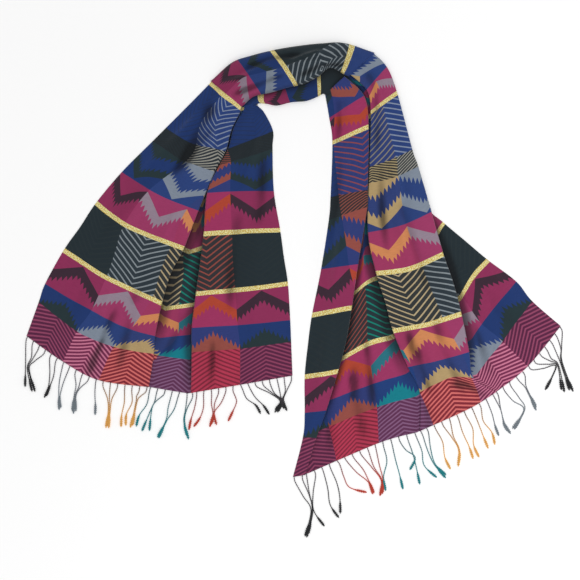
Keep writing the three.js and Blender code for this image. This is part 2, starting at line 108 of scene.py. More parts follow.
RIGHT_TAIL = [
  dict(at=0, inner=(-9, -407), lap=(18, -402), slip=(24, -399), ridge=(180, -332),
    dip=(263, -309), front=(270, -306), crest=(380, -256), fold=(438, -220),
    back=(445, -215), black=(508, -163), outer=(580, -75),
    lapBy=4, frontBy=4, backBy=4, ridgeBy=1.5, step=2.4, lift=1.5),
  dict(at=77, inner=(13, -320), lap=(42, -321), slip=(49, -304), ridge=(176, -253),
    dip=(263, -229), front=(270, -220), crest=(335, -189), fold=(388, -189),
    back=(395, -182), black=(451, -108), outer=(517, -20),
    lapBy=10, frontBy=5, backBy=6, ridgeBy=2.5, step=2.6, lift=2.5),
  dict(at=130, inner=(17, -266), lap=(64, -260), slip=(72, -238), ridge=(165, -203),
    dip=(238, -180), front=(244, -165), crest=(305, -152), fold=(378, -132),
    back=(384, -104), black=(427, -42), outer=(482, 23),
    lapBy=20, frontBy=10, backBy=24, ridgeBy=3, step=2.8, lift=3),
  dict(at=212, inner=(17, -187), lap=(90, -174), slip=(99, -147), ridge=(156, -114),
    dip=(203, -101), front=(211, -86), crest=(283, -72), fold=(361, -48),
    back=(360, -12), black=(387, 33), outer=(420, 70),
    lapBy=30, frontBy=26, backBy=32, ridgeBy=3.5, step=3, lift=4),
  dict(at=272, inner=(24, -117), lap=(108, -106), slip=(117, -73), ridge=(154, -48),
    dip=(187, -37), front=(194, -22), crest=(266, -10), fold=(343, 20),
    back=(340, 62), black=(351, 88), outer=(369, 113),
    lapBy=34, frontBy=30, backBy=34, ridgeBy=3, step=3.2, lift=5),
  dict(at=332, inner=(33, -51), lap=(120, -35), slip=(129, 0), ridge=(150, 18),
    dip=(167, 28), front=(174, 41), crest=(246, 50), fold=(321, 84),
    back=(309, 131), black=(316, 142), outer=(323, 152),
    lapBy=36, frontBy=31, backBy=36, ridgeBy=1.5, step=3.4, lift=6),
  dict(at=421, inner=(53, 49), lap=(134, 61), slip=(141, 72), ridge=(146, 84),
    dip=(150, 98), front=(156, 130), crest=(224, 144), fold=(295, 176),
    back=(277, 182), black=(281, 186), outer=(285, 190),
    lapBy=32, frontBy=28, backBy=30, ridgeBy=0, step=3.6, lift=7),
  dict(at=518, inner=(70, 158), lap=(154, 186), slip=(152, 204), ridge=(153, 210),
    dip=(154, 217), front=(158, 239), crest=(212, 251), fold=(266, 275),
    back=(255, 272), black=(258, 276), outer=(261, 280),
    lapBy=28, frontBy=22, backBy=22, ridgeBy=0, step=3.8, lift=8),
  dict(at=558, inner=(74, 209), lap=(155, 224), slip=(153, 242), ridge=(154, 248),
    dip=(155, 255), front=(159, 275), crest=(205, 290), fold=(253, 312),
    back=(242, 307), black=(245, 311), outer=(248, 315),
    lapBy=26, frontBy=18, backBy=18, ridgeBy=0, step=4, lift=8),
  dict(at=688, inner=(78, 328), lap=(157, 362), slip=(154, 373), ridge=(155, 378),
    dip=(157, 384), front=(162, 394), crest=(190, 416), fold=(220, 436),
    back=(214, 432), black=(216, 433.5), outer=(218, 435),
    lapBy=24, frontBy=13, backBy=12, ridgeBy=0, step=4.4, lift=8),
  dict(at=752, inner=(71, 383), lap=(147, 430), slip=(143, 433), ridge=(145, 436),
    dip=(147, 439), front=(153, 444), crest=(174, 469), fold=(197, 494),
    back=(192.6, 489), black=(194, 491), outer=(195.5, 492.5),
    lapBy=18, frontBy=12, backBy=11, ridgeBy=0, step=4.6, lift=7),
]

# How far each edge and border lies from the outer selvedge, measured along the cloth.
LEFT_WARP = [
  dict(at=0, outer=0, gray=113, gold=227, lap=338, slip=341, dip=447, tuck=455, black=567, inner=680),
  dict(at=77, outer=0, gray=113, gold=227, lap=331, slip=338, dip=412, tuck=460, black=567, inner=680),
  dict(at=130, outer=0, gray=96, gold=203, lap=286, slip=297, dip=367, tuck=462, black=567, inner=680),
  dict(at=212, outer=0, gray=94, gold=151, lap=252, slip=307, dip=376, tuck=474, black=587, inner=680),
  dict(at=272, outer=0, gray=95, gold=153, lap=252, slip=325, dip=372, tuck=494, black=598, inner=680),
  dict(at=332, outer=0, gray=98, gold=157, lap=255, slip=345, dip=373, tuck=505, black=604, inner=678),
  dict(at=421, outer=0, gray=89, gold=145, lap=257, slip=300, dip=350, tuck=516, black=604, inner=670),
  dict(at=518, outer=0, gray=64, gold=109, lap=175, slip=300, dip=350, tuck=541, black=609, inner=670),
  dict(at=558, outer=0, gray=60, gold=108, lap=190, slip=300, dip=350, tuck=567, black=620, inner=665),
  dict(at=623, outer=0, gray=60, gold=140, lap=222, slip=300, dip=350, tuck=567, black=620, inner=660),
  dict(at=680, outer=0, gray=55, gold=142, lap=222, slip=300, dip=350, tuck=570, black=615, inner=650),
]
RIGHT_WARP = [
  dict(at=0, inner=680, lap=651, slip=645, ridge=453, dip=376, front=372, crest=254, fold=187,
    back=182, black=113, outer=0),
  dict(at=77, inner=680, lap=654, slip=589, ridge=453, dip=352, front=340, crest=278, fold=222,
    back=215, black=113, outer=0),
  dict(at=130, inner=680, lap=633, slip=560, ridge=457, dip=380, front=348, crest=286, fold=211,
    back=155, black=78, outer=0),
  dict(at=212, inner=680, lap=608, slip=519, ridge=453, dip=407, front=340, crest=268, fold=185,
    back=118, black=57, outer=0),
  dict(at=272, inner=680, lap=600, slip=500, ridge=453, dip=410, front=334, crest=258, fold=180,
    back=65, black=33, outer=0),
  dict(at=332, inner=670, lap=585, slip=483, ridge=453, dip=431, front=327, crest=256, fold=174,
    back=30, black=15, outer=0),
  dict(at=421, inner=630, lap=546, slip=480, ridge=455, dip=435, front=313, crest=245, fold=158,
    back=20, black=10, outer=0),
  dict(at=518, inner=594, lap=512, slip=480, ridge=455, dip=430, front=291, crest=236, fold=180,
    back=20, black=10, outer=0),
  dict(at=558, inner=584, lap=505, slip=475, ridge=455, dip=430, front=287, crest=240, fold=186,
    back=20, black=10, outer=0),
  dict(at=688, inner=569, lap=495, slip=470, ridge=450, dip=430, front=260, crest=222, fold=175,
    back=20, black=10, outer=0),
  dict(at=752, inner=580, lap=490, slip=470, ridge=450, dip=430, front=255, crest=220, fold=175,
    back=20, black=10, outer=0),
]

# Where the last section of each tail lies on the neck's end section: 0 is its far edge, 1 the end of
# the upper roll and 2 its edge towards the arch. The second table gives the distance woven there.
LEFT_END = dict(outer=0, gray=0.2, gold=0.42, lap=0.95, slip=0.92, dip=1, tuck=1.1, black=1.6, inner=2)
LEFT_END_AT = dict(outer=701, gray=700, gold=699, lap=698, slip=697, dip=684, tuck=668, black=672,
                   inner=676)
RIGHT_END = dict(inner=2, lap=1.07, slip=1.06, ridge=1.03, dip=1, front=0.9, crest=0.5, fold=0,
                 back=0.085, black=0.055, outer=0.026)
RIGHT_END_WARP = dict(inner=592, lap=500, front=222, crest=186, fold=150)
RIGHT_END_AT = dict(inner=803, lap=812, slip=812, ridge=815, dip=820, front=824, crest=812, fold=800,
                    back=800, black=800, outer=800)

# The bunched neck from the left shoulder to the right one: its edges, the height of its roll, the
# distance woven (at) and the place across the cloth (warp) along the roll's far edge, middle and end.
NECK = [
  dict(**LEFT_SHOULDER, height=11.5,
    at=(701, 699, 698), warp=(0, 113, 168), under=(660, 676), low=(575, 650)),
  dict(far=(-143, 504), step=(-95, 429), near=(-68, 414), height=20,
    at=(742, 738, 735), warp=(4, 113, 172), under=(677, 695), low=(572, 648)),
  dict(far=(-101, 519), step=(-59, 437), near=(-44, 410), height=25,
    at=(778, 776, 772), warp=(14, 113, 172), under=(706, 720), low=(570, 646)),
  dict(far=(-48, 532), step=(-20, 448), near=(-13, 417), height=27,
    at=(843, 828, 815), warp=(24, 112, 170), under=(760, 754), low=(570, 644)),
  dict(far=(7, 541), step=(13, 456), near=(20, 420), height=26,
    at=(880, 868, 852), warp=(54, 124, 178), under=(798, 790), low=(572, 640)),
  dict(far=(55, 546), step=(46, 472), near=(44, 429), height=24,
    at=(908, 900, 888), warp=(90, 136, 184), under=(832, 826), low=(572, 634)),
  dict(far=(103, 547), step=(73, 492), near=(57, 436), height=19,
    at=(952, 942, 928), warp=(122, 160, 204), under=(872, 856), low=(575, 628)),
  dict(**RIGHT_SHOULDER, height=11.5,
    at=(1000, 988, 976), warp=(150, 186, 222), under=(950, 940), low=(572, 600)),
]


def curve(a, b, c, d, t):
    """A smooth value between b and c, where a and d are its neighbours."""
    return 0.5 * (2 * b + (c - a) * t + (2 * a - 5 * b + 4 * c - d) * t * t
                  + (3 * b - a - 3 * c + d) * t * t * t)


def smooth_between(keys, i, t):
    """The smooth value at the share t of the way from key i to the next one."""
    last = len(keys) - 1
    return curve(keys[max(i - 1, 0)], keys[i], keys[i + 1], keys[min(i + 2, last)], t)


def along_rows(rows, parts):
    """The rows of a table with smooth sections between them, each value an array."""
    table = [{name: np.array(value, float) for name, value in row.items()} for row in rows]
    by_name = {name: [row[name] for row in table] for name in table[0]}
    result = []
    for i in range(len(table) - 1):
        for k in range(parts):
            result.append({name: smooth_between(keys, i, k / parts) for name, keys in by_name.items()})
    result.append(table[-1])
    return result


def distances_along(points):
    """How far along a line each of its points lies, seen from above."""
    steps = np.hypot(*np.diff(points[:, :2], axis=0).T)
    return np.concatenate([[0], np.cumsum(steps)])


def values_at(line, reach, distance):
    """The values of a line at a distance from its start, where reach is its distances_along."""
    return np.array([np.interp(distance, reach, column) for column in line.T])


def smooth_step(low, high, value):
    """0 below low, 1 above high, and a smooth way between them."""
    t = np.clip((value - low) / (high - low), 0, 1)
    return t * t * (3 - 2 * t)


def shoulder_place(shoulder, distance):
    """A place on the neck's end section: 0 is its far edge, 1 the roll's end and 2 its near edge."""
    far, step, near = [np.array(shoulder[name], float) for name in ("far", "step", "near")]
    if distance <= 1:
        return far + (step - far) * distance
    return step + (near - step) * (distance - 1)


def tail_rows(tail, warp, shoulder, end, end_at, end_warp):
    """Every section of a tail: places, widths, and the two cloth coordinates of each key."""
    rows = []
    for places, across in zip(tail, warp):
        row = dict(places)
        for name in end:
            row["u_" + name] = across[name]
            row["v_" + name] = places["at"]
        rows.append(row)
    top = dict(rows[-1])
    top["at"] = max(end_at.values())
    for name in end:
        top[name] = shoulder_place(shoulder, end[name])
        top["v_" + name] = end_at[name]
        top["u_" + name] = end_warp.get(name, top["u_" + name])
    rows.append(top)
    return along_rows(rows, TAIL_PARTS)


def panel_curve(row, keys, count):
    """Points along one panel through its keys, with the distance from its start."""
    data = [np.array([*row[name], row["u_" + name], row["v_" + name]]) for name in keys]
    spans = len(keys) - 1
    points = []
    for k in range(count + 1):
        t = min(k / count * spans, spans - 1e-9)
        points.append(smooth_between(data, int(t), t - int(t)))
    points = np.array(points)
    return points, distances_along(points)


def fold_line(line, panel, edge_at_end, below, hidden, step):
    """Adds the hidden part of a fold to a line, from the upper panel's edge to the lower one's start."""
    points = panel if edge_at_end else panel[::-1]
    edge = points[-1]
    inward = points[-4][:2] - edge[:2]
    inward /= np.hypot(*inward)
    side = below[:2] - edge[:2]
    side = side - inward * side.dot(inward)
    length = np.hypot(*(points[0][:2] - edge[:2]))
    width = min(hidden, 0.45 * length)
    bend = step / 2
    turns = [math.pi * k / FOLD_PARTS for k in range(1, FOLD_PARTS)]
    steps = [(bend - bend * math.sin(turn), FLOOR + 1.5 * step + bend * math.cos(turn)) for turn in turns]
    for k in range(FOLD_PARTS):
        steps.append((bend + (width - 2 * bend) * k / (FOLD_PARTS - 1), FLOOR + step))
    for turn in turns:
        steps.append((width - bend + bend * math.sin(turn), FLOOR + step / 2 + bend * math.cos(turn)))
    tip = edge[:2] + inward * (width - bend) + side * 0.5
    result = []
    for distance, z in steps:
        share = min(max(distance / max(width, 1), 0), 1)
        result.append((edge[:2] + inward * distance + side * 0.5 * share * share, z))
    for k in range(1, FOLD_PARTS + 1):
        result.append((tip + (below[:2] - tip) * k / (FOLD_PARTS + 1), FLOOR))
    # painted shade: the hidden turn of a fold is darker, the more so the more it hides
    light = 0.95 - 0.7 * float(np.clip((hidden - 3) / 18, 0, 1))
    count = len(result)
    for k, (place, z) in enumerate(result):
        share = (k + 1) / (count + 1)
        u, v = edge[2:] + (below[2:] - edge[2:]) * share
        line.append((place[0], place[1], z, u, v, 0.0, light))


def painted_fold_shade(hidden, distance):
    """How much painted shade darkens a panel at a distance from the fold that lies on it."""
    return 0.66 * np.clip((hidden - 2) / 22, 0.05, 1) * (1 - smooth_step(0, FOLD_SHADE, distance))


def fold_step(row, hidden):
    """The height of one layer at a fold: a fold that hides little is pressed flat."""
    return row["step"] * float(np.clip(hidden / PRESSED_WIDTH, 0.5, 1))


def swell(distance, length, start_raised, end_raised, start_hidden, end_hidden, start_step, end_step, lift):
    """How high a panel lies at a distance from its start: its own swell and the layers under it."""
    height = lift * math.sin(math.pi * min(max(distance / max(length, 1), 0), 1)) ** 0.8
    raise_start = raise_end = 0.0
    if start_raised:
        ease = smooth_step(start_hidden + LANDING, start_hidden + SLOPE, distance)
        raise_start = (1 - ease) * (1 - smooth_step(0.5 * length, 0.95 * length, distance))
    if end_raised:
        back = length - distance
        ease = smooth_step(end_hidden + LANDING, end_hidden + SLOPE, back)
        raise_end = (1 - ease) * (1 - smooth_step(0.5 * length, 0.95 * length, back))
    under = max(start_step * raise_start, end_step * raise_end)
    if start_raised and end_raised:
        under = max(under, 0.5 * min(start_step, end_step))
    return height + 2 * under


def section(row, panels, folds):
    """A whole section. panels are lists of keys with their counts of points, and folds the widths
    hidden between them with the side that lies above: 'before' or 'after'. A place of the section is
    x, y, z, u, v, the share of the creases that it takes, and how open to the light it is."""
    line = []
    curves = [panel_curve(row, keys, count) for keys, count in panels]
    for i, (points, distances) in enumerate(curves):
        length = distances[-1]
        fold_before = folds[i - 1] if i > 0 else None
        fold_after = folds[i] if i < len(folds) else None
        start_up = fold_before is not None and fold_before[1] == "after"
        end_up = fold_after is not None and fold_after[1] == "before"
        start_hidden = float(row[fold_before[0]]) if start_up else 0
        end_hidden = float(row[fold_after[0]]) if end_up else 0
        narrow = np.clip((length - 25) / 60, 0, 1)
        both_up = start_up and end_up
        for k, (x, y, u, v) in enumerate(points):
            z = FLOOR + swell(distances[k], length, start_up, end_up, start_hidden, end_hidden,
                              fold_step(row, start_hidden), fold_step(row, end_hidden),
                              row["lift"] * narrow * (0.7 if both_up else 1))
            edge = min(distances[k], length - distances[k])
            # painted shade: open_to_light darkens the colour beside a fold that lies over this panel
            open_to_light = 1.0
            if fold_before is not None and fold_before[1] == "before":
                open_to_light -= painted_fold_shade(row[fold_before[0]], distances[k])
            if fold_after is not None and fold_after[1] == "after":
                open_to_light -= painted_fold_shade(row[fold_after[0]], length - distances[k])
            creased = float(np.clip(edge / 25, 0, 1)) * narrow
            line.append((x, y, z, u, v, creased, float(max(open_to_light, 0.2))))
        if fold_after is None:
            continue
        width = float(row[fold_after[0]])
        following = curves[i + 1][0]
        if fold_after[1] == "before":
            fold_line(line, points, True, following[0], width, fold_step(row, width))
        else:
            back = []
            fold_line(back, following, False, points[-1], width, fold_step(row, width))
            line.extend(back[::-1])
    return line


# The panels of each tail with their counts of steps, and the folds between them.
LEFT_PANELS = [(("outer", "gray", "gold", "lap"), 60), (("slip", "dip"), 16),
               (("tuck", "black", "inner"), 46)]
LEFT_FOLDS = [("lapBy", "before"), ("tuckBy", "after")]
RIGHT_PANELS = [(("inner", "lap"), 26), (("slip", "ridge", "dip"), 36), (("front", "crest", "fold"), 46),
                (("back", "black", "outer"), 34)]
RIGHT_FOLDS = [("lapBy", "before"), ("frontBy", "after"), ("backBy", "before")]

# Soft ridges (height above 0) and troughs (below 0), each from one place by way of another to a
# third, in table millimetres.
LEFT_CREASES = [
  dict(start=(-452, -165), by=(-425, -60), end=(-392, 60), width=13, height=3.2),
  dict(start=(-398, -190), by=(-372, -85), end=(-352, 20), width=10, height=-2.2),
  dict(start=(-322, -205), by=(-338, -110), end=(-372, 10), width=12, height=3.0),
  dict(start=(-540, -80), by=(-500, 20), end=(-440, 120), width=18, height=2.4),
  dict(start=(-395, -20), by=(-430, -100), end=(-462, -182), width=9, height=-3.0),
  dict(start=(-232, -30), by=(-262, -90), end=(-302, -150), width=9, height=-3.2),
  dict(start=(-422, -92), by=(-440, -134), end=(-462, -192), width=6, height=-3.8),
  dict(start=(-184, -96), by=(-186, -150), end=(-190, -212), width=7, height=-3.0),
  dict(start=(-164, -215), by=(-160, -120), end=(-172, 0), width=12, height=2.8),
  dict(start=(-92, -195), by=(-84, -60), end=(-92, 80), width=16, height=2.6),
  dict(start=(-150, -60), by=(-146, 60), end=(-126, 190), width=11, height=-2.4),
  dict(start=(-420, 60), by=(-352, 160), end=(-262, 262), width=14, height=3.4),
  dict(start=(-330, 40), by=(-290, 120), end=(-232, 214), width=12, height=2.8),
  dict(start=(-352, 250), by=(-280, 322), end=(-204, 402), width=11, height=3.4),
  dict(start=(-290, 240), by=(-236, 300), end=(-176, 368), width=9, height=-3.0),
  dict(start=(-262, 236), by=(-214, 290), end=(-160, 352), width=9, height=3.2),
  dict(start=(-258, 262), by=(-216, 350), end=(-178, 424), width=12, height=-3.6),
  dict(start=(-214, 250), by=(-186, 330), end=(-150, 392), width=8, height=3.4),
  dict(start=(-120, 220), by=(-100, 290), end=(-84, 360), width=10, height=3.0),
  dict(start=(-84, 140), by=(-76, 230), end=(-70, 320), width=10, height=-2.6),
]
RIGHT_CREASES = [
  dict(start=(96, -370), by=(82, -250), end=(78, -120), width=14, height=3.2),
  dict(start=(150, -330), by=(128, -230), end=(120, -150), width=10, height=-2.4),
  dict(start=(216, -322), by=(196, -240), end=(176, -170), width=12, height=3.0),
  dict(start=(122, -180), by=(124, -215), end=(122, -240), width=8, height=-3.2),
  dict(start=(150, -95), by=(160, -180), end=(168, -262), width=7, height=-3.2),
  dict(start=(262, -112), by=(276, -170), end=(296, -232), width=8, height=-2.6),
  dict(start=(322, -204), by=(372, -204), end=(424, -232), width=7, height=-3.2),
  dict(start=(46, -330), by=(52, -200), end=(70, -60), width=14, height=2.6),
  dict(start=(70, -60), by=(92, 90), end=(112, 240), width=12, height=3.4),
  dict(start=(60, 60), by=(84, 190), end=(96, 330), width=9, height=-2.8),
  dict(start=(130, 230), by=(118, 330), end=(104, 440), width=10, height=3.4),
  dict(start=(84, 300), by=(92, 370), end=(96, 430), width=8, height=-3.0),
  dict(start=(330, -270), by=(300, -160), end=(262, -40), width=13, height=3.4),
  dict(start=(376, -240), by=(322, -130), end=(300, -50), width=10, height=-2.0),
  dict(start=(268, -235), by=(256, -150), end=(242, -70), width=9, height=-2.6),
  dict(start=(268, -30), by=(246, 80), end=(216, 190), width=13, height=3.8),
  dict(start=(286, -10), by=(252, 100), end=(220, 210), width=10, height=-2.2),
  dict(start=(226, 180), by=(206, 300), end=(178, 440), width=11, height=3.6),
  dict(start=(152, 490), by=(170, 430), end=(166, 380), width=10, height=-4.2),
  dict(start=(172, 420), by=(174, 360), end=(168, 290), width=9, height=-3.4),
  dict(start=(200, 60), by=(186, 180), end=(182, 300), width=9, height=-2.8),
  dict(start=(470, -170), by=(430, -80), end=(380, 20), width=15, height=3.0),
  dict(start=(540, -110), by=(470, 0), end=(400, 70), width=16, height=2.6),
  dict(start=(286, -308), by=(286, -270), end=(276, -235), width=8, height=-2.0),
  dict(start=(80, -368), by=(70, -300), end=(66, -240), width=8, height=-2.4),
  dict(start=(430, -190), by=(402, -110), end=(374, -40), width=9, height=-2.2),
]


def crease_height(places, creases):
    """How far the creases lift (or sink) the cloth at each of the places."""
    total = np.zeros(len(places))
    for crease in creases:
        start, by, end = [np.array(crease[name], float) for name in ("start", "by", "end")]
        best, share = np.full(len(places), 1e9), np.zeros(len(places))
        for base, first, last in ((0.0, start, by), (0.5, by, end)):
            way = last - first
            t = np.clip((places - first) @ way / way.dot(way), 0, 1)
            distance = np.hypot(*(places - first - t[:, None] * way).T)
            nearer = distance < best
            best, share = np.where(nearer, distance, best), np.where(nearer, base + t / 2, share)
        ends = smooth_step(0, 0.22, share) * (1 - smooth_step(0.78, 1.0, share))
        uneven = 0.8 + 0.35 * np.sin(share * 9 + start[0] * 0.05)
        total += crease["height"] * np.exp(-(best / crease["width"]) ** 2) * ends * uneven
    return total * CREASE_DEPTH


def ripple(u, v):
    """Faint uneven waves of the whole cloth, from a few sines of unlike lengths."""
    return (0.9 * np.sin(u * 0.047 + 0.6 * np.sin(v * 0.011) + 1.3)
            + 0.6 * np.sin(u * 0.019 + v * 0.023 + 0.4)
            + 0.35 * np.sin(u * 0.083 - v * 0.031 + 2.1))


def to_frame(x, y, z):
    """A place of the tables, in millimetres, as one of the part's own frame, in metres."""
    return ((x + HOME[0]) / 1000, (y + HOME[1]) / 1000, z / 1000)


def put_in_scene(name, data):
    made = bpy.data.objects.new(name, data)
    bpy.context.scene.collection.objects.link(made)
    return made


def mesh_object(name, bm):
    """Turns a finished bmesh into an object of the scene."""
    mesh = bpy.data.meshes.new(name)
    bm.to_mesh(mesh)
    bm.free()
    return put_in_scene(name, mesh)


def grid_sheet(name, lines):
    """A sheet with one row of vertices for each line of places, and its cloth map. A place is x, y, z,
    u, v and how open to the light it is."""
    rows, columns = len(lines), len(lines[0])
    bm = bmesh.new()
    bmesh.ops.create_grid(bm, x_segments=columns - 1, y_segments=rows - 1, size=1.0)
    if len(bm.verts) != rows * columns:
        raise SystemExit("the grid has %d vertices and not %d" % (len(bm.verts), rows * columns))
    layer = bm.loops.layers.uv.new("cloth")
    # painted shade: how open to the light each place is, which the material uses to darken the cloth's
    # colour
    shade = bm.verts.layers.float.new("open_to_light")
    coordinates = {}
    for vertex in bm.verts:
        j = round((vertex.co.x + 1) / 2 * (columns - 1))
        i = round((vertex.co.y + 1) / 2 * (rows - 1))
        x, y, z, u, v, light = lines[i][j]
        vertex[shade] = light
        coordinates[vertex.index] = (u / 1000, v / 1000)
        vertex.co = to_frame(x, y, z)
    bm.verts.index_update()
    for face in bm.faces:
        face.smooth = True
        for loop in face.loops:
            loop[layer].uv = coordinates[loop.vert.index]
    return mesh_object(name, bm)


def thicken(sheet):
    """Gives a sheet the thickness of the cloth, half to each side."""
    solid = sheet.modifiers.new("wall", "SOLIDIFY")
    solid.thickness = THICK / 1000
    solid.offset = 0
    solid.use_even_offset = False
    return sheet


def tail_sheet(name, rows, panels, folds, creases):
    lines = []
    for row in rows:
        line = np.array(section(row, panels, folds), float)
        kept = HEM_CREASES + (1 - HEM_CREASES) * smooth_step(0, HEM_REACH, row["at"])
        dz = crease_height(line[:, :2], creases) + RIPPLE * ripple(line[:, 3], line[:, 4])
        line[:, 2] = np.maximum(FLOOR, line[:, 2] + dz * line[:, 5] * kept)
        # painted shade: the bottom of a deep trough is darker
        line[:, 6] *= 1 - CREASE_PAINTED_SHADE * np.clip(-dz / DEEP_TROUGH, 0, 1) * line[:, 5]
        lines.append(line[:, [0, 1, 2, 3, 4, 6]])
    return thicken(grid_sheet(name, lines))


left_rows = tail_rows(LEFT_TAIL, LEFT_WARP, LEFT_SHOULDER, LEFT_END, LEFT_END_AT, {})
right_rows = tail_rows(RIGHT_TAIL, RIGHT_WARP, RIGHT_SHOULDER, RIGHT_END, RIGHT_END_AT, RIGHT_END_WARP)
left_tail = tail_sheet("left_tail_cloth", left_rows, LEFT_PANELS, LEFT_FOLDS, LEFT_CREASES)
right_tail = tail_sheet("right_tail_cloth", right_rows, RIGHT_PANELS, RIGHT_FOLDS, RIGHT_CREASES)

# The profile of the neck's upper roll, from under its far edge over the top to its end: the share of
# its width, the share of its height, and the share of the cloth between its two edges.
ROLL_PROFILE = [
  dict(across=0.10, height=0.03, cloth=-0.10), dict(across=0.02, height=0.06, cloth=-0.04),
  dict(across=0.0, height=0.20, cloth=0.0), dict(across=0.03, height=0.36, cloth=0.03),
  dict(across=0.02, height=0.50, cloth=0.06), dict(across=0.07, height=0.68, cloth=0.11),
  dict(across=0.18, height=0.84, cloth=0.22), dict(across=0.27, height=0.93, cloth=0.30),
  dict(across=0.35, height=0.88, cloth=0.38), dict(across=0.46, height=0.90, cloth=0.48),
  dict(across=0.56, height=0.97, cloth=0.57), dict(across=0.66, height=1.0, cloth=0.66),
  dict(across=0.76, height=0.95, cloth=0.76), dict(across=0.85, height=0.93, cloth=0.84),
  dict(across=0.93, height=0.88, cloth=0.92), dict(across=0.98, height=0.74, cloth=0.97),
  dict(across=1.0, height=0.58, cloth=1.0), dict(across=0.97, height=0.46, cloth=1.03),
  dict(across=0.88, height=0.44, cloth=1.10),
]
# The same for the layer that lies under the roll and shows between it and the arch.
UNDER_PROFILE = [
  dict(across=-0.5, height=0.36, cloth=-0.2), dict(across=-0.1, height=0.38, cloth=-0.05),
  dict(across=0.2, height=0.43, cloth=0.2), dict(across=0.45, height=0.45, cloth=0.45),
  dict(across=0.7, height=0.42, cloth=0.7), dict(across=0.88, height=0.38, cloth=0.85),
  dict(across=0.98, height=0.28, cloth=0.96), dict(across=1.0, height=0.18, cloth=1.0),
  dict(across=0.96, height=0.08, cloth=1.05), dict(across=0.8, height=0.03, cloth=1.15),
]
NECK_CREASES = [
  dict(start=(-178, 452), by=(-120, 470), end=(-60, 500), width=6, height=3.0),
  dict(start=(-150, 430), by=(-90, 452), end=(-20, 480), width=6, height=-3.0),
  dict(start=(-120, 486), by=(-60, 512), end=(20, 520), width=6, height=-3.2),
  dict(start=(-60, 470), by=(0, 500), end=(70, 510), width=6, height=3.2),
  dict(start=(-30, 500), by=(40, 524), end=(110, 526), width=5, height=3.0),
  dict(start=(0, 470), by=(50, 496), end=(110, 500), width=5, height=-3.0),
  dict(start=(60, 500), by=(100, 512), end=(150, 500), width=6, height=2.6),
]


def profile_line(row, profile, first, last, cloth, woven, shade, count):
    """One section of a neck sheet, its profile set between two edges. cloth, woven and shade are each a
    pair of lists: shares of the way across, and the warp, the distance woven or the light there."""
    keys = [np.array([p["across"], p["height"], p["cloth"]]) for p in profile]
    line = []
    for k in range(count + 1):
        t = k / count * (len(keys) - 1)
        i = min(int(t), len(keys) - 2)
        across, height, share = smooth_between(keys, i, t - i)
        place = first + (last - first) * across
        z = max(FLOOR, height * row["height"])
        top = float(smooth_step(0.05, 0.2, across) * (1 - smooth_step(0.85, 0.97, across)))
        if share < 0:
            u = cloth[1][0] + (cloth[1][1] - cloth[1][0]) * 2 * share
        else:
            u = float(np.interp(share, *cloth))
        v = float(np.interp(share, *woven))
        dz = (crease_height(place[None], NECK_CREASES)[0] + 0.5 * ripple(u, v)) * top
        # painted shade: darker where the shade list falls, a little darker over the whole neck, and darker
        # still in troughs
        light = float(np.interp(across, *shade)) * (0.88 - 0.42 * float(np.clip(-dz / 4, 0, 1)))
        line.append((place[0], place[1], max(z + dz, FLOOR), u, v, light))
    return line


def reach_over(end, inner, distance):
    """One more section past an end of the neck, so that it lies over the tail."""
    way = np.array(end["far"], float) + end["near"] - inner["far"] - inner["near"]
    way *= distance / np.hypot(*way)
    row = dict(end)
    for name in ("far", "step", "near"):
        row[name] = np.array(end[name], float) + way
    for name in ("at", "under"):
        row[name] = [v + (distance if v > CUT_LENGTH / 2 else -distance) for v in end[name]]
    row["height"] = end["height"] * 0.92
    return row


def neck_sheets():
    roll, under = [], []
    table = [reach_over(NECK[0], NECK[1], NECK_OVERLAP), *NECK, reach_over(NECK[-1], NECK[-2], NECK_OVERLAP)]
    for row in along_rows(table, NECK_PARTS):
        far, step, near = row["far"], row["step"], row["near"]
        # the last pair of lists in each call is painted shade: the roll darker where it turns under, the
        # under layer darkest beneath the roll
        roll.append(profile_line(row, ROLL_PROFILE, far, step,
                                 ([0, 0.5, 1], list(row["warp"])), ([0, 0.5, 1], list(row["at"])),
                                 ([0, 0.06, 0.92, 1], [0.6, 1, 1, 0.7]), ROLL_STEPS))
        under.append(profile_line(row, UNDER_PROFILE, step, near,
                                  ([0, 1], list(row["low"])), ([0, 1], list(row["under"])),
                                  ([-0.1, 0.45, 0.9, 1], [0.25, 1, 1, 0.7]), UNDER_STEPS))
    return thicken(grid_sheet("neck_roll", roll)), thicken(grid_sheet("neck_under", under))


neck_roll, neck_under = neck_sheets()


